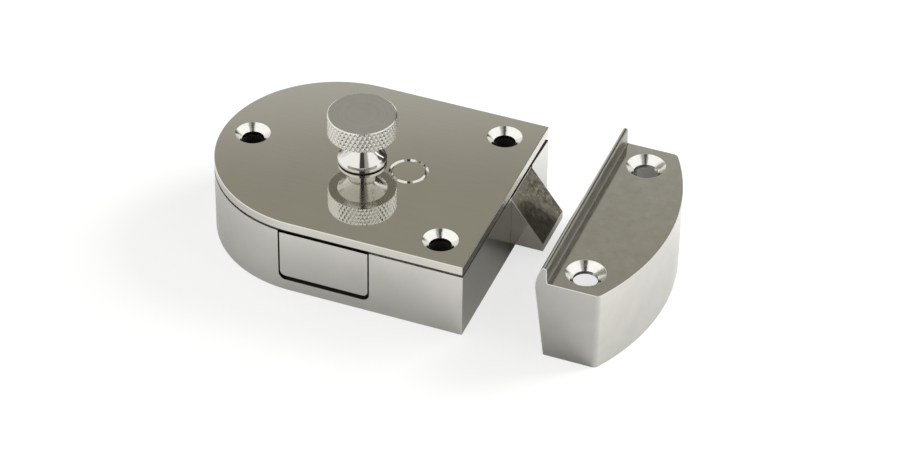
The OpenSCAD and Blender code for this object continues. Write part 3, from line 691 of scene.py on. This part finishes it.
def knurl_grid(low_z, high_z, columns):
    """The head's side: each point is sunk by how far it lies from the nearer of two crossing sets of slanted
    lines, which leaves a net of crests with a pointed pit in each mesh. The normals are the cross product
    of the steps round the band and up it, with the two ends of each row sharing their neighbours."""
    rows = int(round((high_z - low_z) / (KNURL_TALL / KNURL_STEPS)))
    turn, height = np.meshgrid(np.linspace(0, 2 * math.pi, columns + 1), np.linspace(low_z, high_z, rows + 1))
    across = turn * KNURLS / (2 * math.pi)
    along = (height - low_z) / KNURL_TALL
    pit = np.minimum(wave(across + along), wave(across - along))
    pit = np.clip((pit - KNURL_CREST) / (1 - KNURL_CREST), 0, 1)
    fade = np.clip(np.minimum(height - low_z, high_z - height) / KNURL_FADE, 0, 1)
    radius = KNOB_R - KNURL_PROUD + KNURL_PROUD * fade - KNURL_DEEP * fade * pit
    points = np.stack([KNOB_X + radius * np.cos(turn), radius * np.sin(turn), height], 2)
    wide = np.concatenate([points[:, -2:-1], points, points[:, 1:2]], 1)
    normals = np.cross(wide[:, 2:] - wide[:, :-2], np.gradient(points, axis=0))
    return points, normals / np.linalg.norm(normals, axis=2, keepdims=True)


def knob_mesh():
    """The knob: a profile turned about its axis, from the bore for the stud out over the base, up the
    hollowed neck and the flare to the head and over its top, with a knurled band as the head's side."""
    side_r = KNOB_R - KNURL_PROUD
    head_under = KNOB_TOP - KNOB_HEAD
    rim = KNOB_FOOT + BASE_RIM
    neck_low = rim + SHOULDER_TALL
    neck_high = head_under - FLARE_TALL
    bore_top = head_under + STUD_RISE
    low_z, high_z = head_under + LOWER_BEVEL, KNOB_TOP - KNOB_BEVEL
    base = eased([(0, bore_top), (STUD_R, bore_top), (STUD_R, KNOB_FOOT), (BASE_R, KNOB_FOOT),
                  (BASE_R, rim - LAND_FALL), (SHOULDER_R, rim)], [0, 0, 0.1, 0.15, 0.12, 0])
    shoulder_pull = NECK_R + SHOULDER_PULL * (SHOULDER_R - NECK_R), rim + SHOULDER_PULL * SHOULDER_TALL
    shoulder = bowed((SHOULDER_R, rim), shoulder_pull, (NECK_R, neck_low), 24)
    rows = 25
    waist = np.column_stack([np.full(rows, NECK_R), np.linspace(neck_low, neck_high, rows)])
    flare_pull = NECK_R + FLARE_PULL * (FLARE_R - NECK_R), head_under - FLARE_PULL * FLARE_TALL
    flare = bowed((NECK_R, neck_high), flare_pull, (FLARE_R, head_under), 48)
    neck = np.concatenate([waist, flare[0]]), np.concatenate([np.tile([1.0, 0.0], (rows, 1)), flare[1]])
    under = eased([(FLARE_R, head_under), (side_r - LOWER_BEVEL, head_under), (side_r, low_z)], [0, 0.04, 0])
    crown = eased([(side_r, high_z), (KNOB_R - KNOB_BEVEL_WIDE, KNOB_TOP), (KNOB_R - CROWN_WIDE, KNOB_TOP),
                   (0, KNOB_TOP)], [0, 0.1, 0, 0])
    columns = KNURLS * KNURL_STEPS
    grids = [turned(part, (KNOB_X, 0), columns) for part in (base, shoulder, under, crown)]
    grids.append(grub_pocket(*turned(neck, (KNOB_X, 0), columns)))
    grids.append(knurl_grid(low_z, high_z, columns))
    return joined_mesh("knob_knurled", grids)


# Eased copies of the cast and machined pieces


def case_wall(points):
    """The D-shaped plan: how far points lie off it, and its outward normal beside them."""
    around = points[:, :2] - (ROUND_X, 0)
    radius = np.linalg.norm(around, axis=1)
    bent = points[:, 0] < ROUND_X
    away = np.where(bent, radius, np.abs(points[:, 1])) - HALF_W
    own = np.zeros_like(points)
    own[:, 0] = np.where(bent, around[:, 0] / np.maximum(radius, 1e-6), 0)
    own[:, 1] = np.where(bent, around[:, 1] / np.maximum(radius, 1e-6), np.sign(points[:, 1]))
    return away, own


def keeper_wall(points):
    """The keeper's bowed far side, an arc about an upright line: how far points lie off it, and its
    normal."""
    around = points[:, :2] - (KEEPER_OUT_X - KEEPER_BOW_R, 0)
    radius = np.linalg.norm(around, axis=1)
    own = np.zeros_like(points)
    own[:, :2] = around / np.maximum(radius, 1e-6)[:, None]
    return radius - KEEPER_BOW_R, own


def keeper_sinks(points):
    """The cones of the keeper's two countersinks: how far points lie off the nearer one, and its normal."""
    around = points[:, :2] - (KEEPER_SCREW_X, 0)
    around[:, 1] -= KEEPER_SCREW_Y * np.sign(points[:, 1])
    radius = np.linalg.norm(around, axis=1)
    own = np.ones_like(points)
    own[:, :2] = -around / np.maximum(radius, 1e-6)[:, None]
    away = radius - (KEEPER_SINK_R - (KEEPER_TOP - points[:, 2]))
    return away / math.sqrt(2), own / math.sqrt(2)


def worn_strike(points):
    """Lowers the upper edge of the strike wall beyond the bolt, where it is worn: by a little at the bolt and
    evenly more towards the corner."""
    share = (points[:, 1] - WORN_START) / (HALF_W - WORN_START)
    worn = (share > 0) & (points[:, 0] > STRIKE_X - WORN_WALL) & (points[:, 2] > COVER_UNDER - WORN_NEAR)
    moved = points.copy()
    moved[worn, 2] = COVER_UNDER - (WORN_FROM + (WORN_TO - WORN_FROM) * share[worn])
    return moved


def finish_case(mesh, on_edge):
    """The case: plated walls, rubbed edges painted paler as highlight, and raw casting inside; the seam under
    the cover and the worn edge are painted near-black as shade. Inside is what lies deeper than the plating
    within the D-shaped plan."""
    middles, normals = face_middles(mesh)
    lay_normals(mesh, case_wall)
    # Rubbed edges, painted paler as highlight
    paint(mesh, rubbed_edge, on_edge)
    # Raw casting inside; the seam under the cover and the worn edge are painted near-black as shade
    inside = (case_wall(middles)[0] < -PLATED_DEPTH) & (middles[:, 0] < STRIKE_X - STRIKE_DEPTH)
    inside &= middles[:, 2] > BACK_EDGE
    seam = on_edge & (middles[:, 2] > COVER_UNDER - SEAM_TALL)
    worn = (middles[:, 2] > COVER_UNDER - WORN_TO - WORN_MARGIN) & (normals[:, 2] > LEANING)
    worn &= (middles[:, 1] > WORN_START) & (middles[:, 0] > STRIKE_X - WORN_WALL)
    paint(mesh, raw_casting, inside | seam | worn)


def finish_keeper(mesh, on_edge):
    """The keeper: plated outside, brighter in its countersinks, duller and painted dark as shade in the
    trough behind the lip, with rubbed edges painted paler as highlight, and raw inside. Its end_share
    attribute makes the two ends rougher and paints them darker as shade: it rises with the turn of the
    normals from 0 on the bowed side to 1 on the ends."""
    middles, normals = face_middles(mesh)
    lay_normals(mesh, keeper_wall)
    lay_normals(mesh, keeper_sinks)
    sinks = in_sinks(mesh, KEEPER_SCREWS, KEEPER_SINK_REACH, KEEPER_TOP)
    inside = np.abs(middles[:, 1]) < KEEPER_HALF_W - PLATED_DEPTH
    inside &= (keeper_wall(middles)[0] < -PLATED_DEPTH) & (middles[:, 2] < KEEPER_TOP - KEEPER_TOP_DEPTH)
    trough = (middles[:, 2] > KEEPER_TOP + TROUGH_RISE) & (normals[:, 0] > FACING) & ~on_edge
    # Rubbed edges painted paler as highlight, and the trough behind the lip painted dark as shade
    paint(mesh, rubbed_edge, on_edge)
    paint(mesh, lip_nickel, trough)
    paint(mesh, sink_nickel, sinks)
    paint(mesh, keeper_inside, inside & ~sinks)
    # end_share paints the two ends darker as shade
    leaning = np.abs(read_array(mesh.corner_normals, "vector", 3)[:, 1])
    end_share = np.clip((leaning - KEEPER_BOW_END) / (1 - KEEPER_BOW_END), 0, 1).astype(np.float32)
    mesh.attributes.new("end_share", "FLOAT", "CORNER").data.foreach_set("value", end_share)


def finish_edges(mesh, on_edge):
    """Plated faces with rubbed edges, painted paler as highlight."""
    paint(mesh, rubbed_edge, on_edge)


def finish_bolt(mesh, on_edge):
    """The bolt: plated, with rubbed edges painted paler as highlight and a scuffed bevel, which the keeper's
    lip rubs as the gate slams; the bevel is also painted darker as shade."""
    # Rubbed edges painted paler as highlight, and the bevel painted darker as shade
    paint(mesh, rubbed_edge, on_edge)
    normals = face_middles(mesh)[1]
    paint(mesh, scuffed_bevel, ~on_edge & (normals[:, 0] > FACING) & (normals[:, 2] > FACING))


def add_eased_pieces():
    """The pieces whose solids already have the right shape, each with its body, the width of its rounded
    edges, what moves its points first, its material and slot, and what finishes it."""
    for node, body, width, reshape, material, slot, finish in (
        ("case_body", "case", 0.14, worn_strike, case_nickel, "case_nickel", finish_case),
        ("push_button", "button", 0.18, None, case_nickel, "case_nickel", finish_edges),
        ("latch_bolt", "bolt", 0.28, None, bolt_nickel, "bolt_nickel", finish_bolt),
        ("keeper", "keeper", 0.25, None, keeper_nickel, "keeper_nickel", finish_keeper),
        ("knob_washer", "case", 0.05, None, black_nylon, "black_nylon", None),
    ):
        mesh, on_edge = eased_copy(node, width, reshape)
        add_piece(node + "_eased", mesh, body, material, node)
        if finish:
            finish(mesh, on_edge)


# Springs and inner pieces


def coil_mesh(name, start, along, length, outer_d, wire, turns, sides=14, steps=48):
    """A coil spring: a round wire carried along a helix, with flat ends. The helix climbs by a little more
    than the wire's thickness in its first and last turn, so that the spring's ends lie closed, and evenly
    in between: its climb is the integral of that pitch, which changes within the half turn from ease_at."""
    across = np.array([along[1], along[2], along[0]], float)
    third = np.cross(along, across)
    turn = np.linspace(0, turns, int(turns * steps) + 1)
    ease_at, ease_turns = 0.75, 0.5
    share = np.clip(np.minimum(turn, turns - turn) - ease_at, 0, ease_turns) / ease_turns
    closed_pitch = wire * 1.04
    weight = np.concatenate([[0], np.cumsum((share[1:] + share[:-1]) / 2 * np.diff(turn))])
    open_pitch = (length - wire - closed_pitch * turns) / weight[-1]
    climb = closed_pitch * turn + open_pitch * weight + wire / 2
    radius = outer_d / 2 - wire / 2
    angle = 2 * math.pi * turn[:, None]
    outward = np.cos(angle) * across + np.sin(angle) * third
    line = np.asarray(start) + climb[:, None] * np.asarray(along, float) + radius * outward
    way = np.gradient(line, axis=0)
    way /= np.linalg.norm(way, axis=1, keepdims=True)
    aside = np.cross(way, outward)
    ring = np.linspace(0, 2 * math.pi, sides + 1)[None, :, None]
    lean = np.cos(ring) * outward[:, None, :] + np.sin(ring) * aside[:, None, :]
    tube = line[:, None, :] + wire / 2 * lean
    flat = np.ones((1, sides + 1, 1))
    points = [line[None, :1] * flat, tube[:1], tube, tube[-1:], line[None, -1:] * flat]
    start_lean, end_lean = -way[None, :1] * flat, way[None, -1:] * flat
    normals = [start_lean, start_lean, lean, end_lean, end_lean]
    return joined_mesh(name, [(np.concatenate(points), np.concatenate(normals))])


def add_springs():
    """The bolt's spring on its rod and the button's two springs on their pins."""
    low, high = box_mm("bolt_spring")
    middle = (low + high) / 2
    length = high[0] - low[0]
    mesh = coil_mesh("bolt_spring_coil", (low[0], middle[1], middle[2]), (1, 0, 0), length,
                     high[2] - low[2], *BOLT_SPRING)
    piece = add_piece("bolt_spring_coil", mesh, "case", spring_steel, "bolt_spring")
    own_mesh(piece)
    low, high = box_mm("button_springs")
    middle = (low + high) / 2
    length = high[1] - low[1]
    outer_d = high[2] - low[2]
    for side, place in (("left", low[0] + outer_d / 2), ("right", high[0] - outer_d / 2)):
        name = "button_spring_coil_" + side
        mesh = coil_mesh(name, (place, low[1], middle[2]), (0, 1, 0), length, outer_d, *BUTTON_SPRING)
        piece = add_piece(name, mesh, "case", spring_steel, "button_springs")
        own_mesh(piece)


def finish_inner_pieces():
    """Steel for the screws, pins, rod and spindle, and bronze for what they run in or push."""
    for material, nodes in (
        (screw_steel, ("cover_screws", "spring_rod", "spindle", "bolt_drive_pin", "button_drive_pin",
                       "knob_grub_screw", "plunger_screws", "guide_pins")),
        (bronze, ("cover_bush", "floor_bush", "follower", "button_plunger")),
    ):
        for node in nodes:
            mesh = frame["nodes"][node].data
            mesh.materials.clear()
            mesh.materials.append(material)


# Floor, light and camera

# How strong the floor's shadow is as seen and as mirrored, and how near and how steeply the mirrored white
# fades, as painted shade, where the object hems it in
SEEN_SHADOW = 0.3
MIRRORED_SHADOW = 0.65
TIGHT_REACH = 0.04
TIGHT_POWER = 2.8

FLOOR_COLOUR = (0.88, 0.88, 0.87)
FLOOR_REACH = 4.0
FLOOR_DROP = 0.00002

WALL = (0.365, 0.35, 0.295)
LOW_WALL = (0.62, 0.61, 0.57)
CORNER = (0.06, 0.057, 0.05)
CAMERA_SIDE = (0.06, 0.06, 0.055)
DOORWAY = (0.45, 0.44, 0.41)
SOFT_BOX = (1.2, 1.2, 1.18)
OVERHEAD = (0.70, 0.69, 0.65)
HORIZON = (0.12, 0.115, 0.10)

# Sines of the elevations between which the studio changes, with the end at which the change is whole last
LOW_WALL_HEIGHT = 0.617, 0.58
OVERHEAD_HEIGHT = 0.92, 0.975
HORIZON_HEIGHT = 0.20, 0.12

KEY_PLACE = (0.72, 0.67, 0.56)
KEY_SIZE = 0.6
KEY_POWER = 19

VIEW_AZIMUTH, VIEW_ELEVATION, VIEW_ROLL = (math.radians(angle) for angle in (20.58, 38.60, 0.92))
VIEW_PLACE = (0.2217, -0.60613, 0.52402)
VIEW_LENS = 134.51


def floor_material():
    """Pale matt floor. The camera and the mirror images in the metal see part of it as plain white, so that
    the open floor is white and the object keeps a soft shadow. In the mirror images that white fades where
    the floor is hemmed in by the object: painted shade, from ambient occlusion. Every other ray sees the
    floor as it is lit."""
    material = bpy.data.materials.new("studio_floor")
    material.use_nodes = True
    tree = material.node_tree
    tree.nodes.remove(tree.nodes["Principled BSDF"])
    ray = add_node(tree, "ShaderNodeLightPath")
    # Ambient occlusion dims the mirrored white near the object: painted shade
    openness = add_node(tree, "ShaderNodeAmbientOcclusion", {"Distance": TIGHT_REACH}, samples=8)
    fading = add_node(tree, "ShaderNodeMath", {0: openness.outputs["AO"], 1: TIGHT_POWER}, operation="POWER")
    white = add_node(tree, "ShaderNodeEmission", {"Strength": 1.0})
    dimmed = add_node(tree, "ShaderNodeEmission", {"Strength": fading.outputs["Value"]})
    below = add_node(tree, "ShaderNodeBsdfDiffuse", {"Color": (*FLOOR_COLOUR, 1)}).outputs["BSDF"]
    for kind, shadow, glow in (("Is Glossy Ray", MIRRORED_SHADOW, dimmed),
                               ("Is Transmission Ray", MIRRORED_SHADOW, dimmed),
                               ("Is Camera Ray", SEEN_SHADOW, white)):
        share = add_node(tree, "ShaderNodeMath", {0: ray.outputs[kind], 1: 1 - shadow}, operation="MULTIPLY")
        inputs = {"Fac": share.outputs["Value"], 1: below, 2: glow.outputs["Emission"]}
        below = add_node(tree, "ShaderNodeMixShader", inputs).outputs["Shader"]
    set_inputs(tree, tree.nodes["Material Output"], {"Surface": below})
    return material


def add_floor():
    """A level square under the object, just below its mounting face."""
    mesh = bpy.data.meshes.new("studio_floor")
    ends = (-1, -1), (1, -1), (1, 1), (-1, 1)
    mesh.from_pydata([(x * FLOOR_REACH, y * FLOOR_REACH, -FLOOR_DROP) for x, y in ends], [], [(0, 1, 2, 3)])
    floor = bpy.data.objects.new("studio_floor", mesh)
    bpy.context.scene.collection.objects.link(floor)
    mesh.materials.append(floor_material())


def studio_walls(tree, turn, behind, beside):
    """The ring of walls by compass direction, in degrees clockwise from straight behind the object, with
    the wall behind and the stretch beside the corner in tones of their own."""
    ring = add_node(tree, "ShaderNodeValToRGB", {"Fac": turn})
    stops = ((-170, CAMERA_SIDE), (-164, SOFT_BOX), (-42, SOFT_BOX), (-28, behind), (14, behind),
             (26, CORNER), (48, CORNER), (60, beside), (78, beside), (88, SOFT_BOX), (138, SOFT_BOX),
             (148, DOORWAY), (162, DOORWAY), (168, CAMERA_SIDE))
    ramp = ring.color_ramp.elements
    while len(ramp) < len(stops):
        ramp.new(0.5)
    for stop, (degrees, colour) in zip(ramp, stops):
        stop.position = degrees / 360 + 0.5
        stop.color = (*colour, 1)
    return ring.outputs["Color"]


def add_world():
    """Studio walls round the object: a warm grey wall behind, a dim corner to its right, a white soft box on
    each side, a grey doorway and a dark gap where the camera stands. The wall behind is paler lower down, a
    pale ceiling hangs overhead, and along the horizon it is dark behind and beside the corner. The camera
    alone sees plain white."""
    world = bpy.data.worlds.new("studio_walls")
    bpy.context.scene.world = world
    world.use_nodes = True
    tree = world.node_tree
    place = add_node(tree, "ShaderNodeTexCoord").outputs["Generated"]
    facing = add_node(tree, "ShaderNodeMapping", {"Vector": place, "Rotation": (0, 0, -VIEW_AZIMUTH)})
    split = add_node(tree, "ShaderNodeSeparateXYZ", {"Vector": facing.outputs["Vector"]})
    sideways_and_back = {0: split.outputs["X"], 1: split.outputs["Y"]}
    compass = add_node(tree, "ShaderNodeMath", sideways_and_back, operation="ARCTAN2").outputs["Value"]
    turn = ranged(tree, compass, (-math.pi, math.pi))
    seen = studio_walls(tree, turn, WALL, SOFT_BOX)
    for span, colour in ((LOW_WALL_HEIGHT, studio_walls(tree, turn, LOW_WALL, SOFT_BOX)),
                         (OVERHEAD_HEIGHT, (*OVERHEAD, 1)),
                         (HORIZON_HEIGHT, studio_walls(tree, turn, HORIZON, HORIZON))):
        share = ranged(tree, split.outputs["Z"], span, interpolation_type="SMOOTHSTEP")
        seen = mixed(tree, share, seen, colour)
    ray = add_node(tree, "ShaderNodeLightPath").outputs["Is Camera Ray"]
    set_inputs(tree, tree.nodes["Background"], {"Color": mixed(tree, ray, seen, (1, 1, 1, 1))})


def add_lamp():
    """A square soft lamp that faces the object. Polished metal mirrors the studio walls and not the lamp."""
    light = bpy.data.lights.new("key_soft_lamp", "AREA")
    light.size = KEY_SIZE
    light.energy = KEY_POWER
    lamp = bpy.data.objects.new("key_soft_lamp", light)
    bpy.context.scene.collection.objects.link(lamp)
    lamp.location = KEY_PLACE
    lamp.rotation_euler = (-Vector(KEY_PLACE)).to_track_quat("-Z", "Y").to_euler()
    lamp.visible_glossy = False


def add_camera():
    """The photograph's view: where the camera stood, its lens, and its small roll."""
    data = bpy.data.cameras.new("photo_view")
    data.sensor_width = 36
    data.sensor_fit = "HORIZONTAL"
    data.lens = VIEW_LENS
    data.clip_start = 0.01
    camera = bpy.data.objects.new("photo_view", data)
    bpy.context.scene.collection.objects.link(camera)
    forward = Vector((-math.sin(VIEW_AZIMUTH) * math.cos(VIEW_ELEVATION),
                      math.cos(VIEW_AZIMUTH) * math.cos(VIEW_ELEVATION), -math.sin(VIEW_ELEVATION)))
    level = Vector((math.cos(VIEW_AZIMUTH), math.sin(VIEW_AZIMUTH), 0))
    upward = level.cross(forward)
    right = math.cos(VIEW_ROLL) * level + math.sin(VIEW_ROLL) * upward
    up = math.cos(VIEW_ROLL) * upward - math.sin(VIEW_ROLL) * level
    turn = Matrix((right, up, -forward)).transposed()
    camera.matrix_world = Matrix.Translation(VIEW_PLACE) @ turn.to_4x4()
    bpy.context.scene.camera = camera


add_cover()
add_piece("knob_knurled", knob_mesh(), "knob_group", knob_nickel, "knob")
add_eased_pieces()
add_springs()
finish_inner_pieces()
add_floor()
add_world()
add_lamp()
add_camera()
bpy.context.scene.view_settings.view_transform = "Standard"
